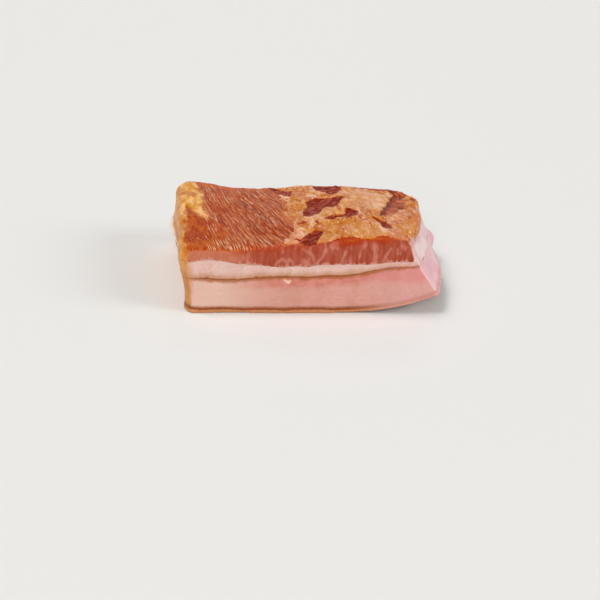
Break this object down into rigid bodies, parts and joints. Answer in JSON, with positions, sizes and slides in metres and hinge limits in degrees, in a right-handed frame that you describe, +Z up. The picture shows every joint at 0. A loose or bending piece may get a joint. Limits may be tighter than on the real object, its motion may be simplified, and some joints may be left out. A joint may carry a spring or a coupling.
{
  "type": "smoked bacon slab",
  "caption": "Block of smoked pork belly lying on its rind: back fat, a band of softer fat and lean meat under a smoked, torn membrane.",
  "frame": {"origin": "on the surface that the slab rests on, below the middle of its bounding box", "axes": "+X along the cut front face towards the end where the rind curls up, +Y from the front face to the back, +Z up"},
  "size_m": [0.1656, 0.1114, 0.0445],
  "materials": {
    "back_fat_on_rind": "moist pinkish back fat with a browned leathery rind below",
    "soft_fat_band": "paler, softer fat with a slight gloss",
    "lean_layer": "smoked top in orange-brown with a tan membrane, rosy cut meat at the sides"
  },
  "bodies": {
    "root": {"back_fat_on_rind": "back_fat_on_rind", "soft_fat_band": "soft_fat_band", "lean_layer": "lean_layer"}
  },
  "joints": []
}
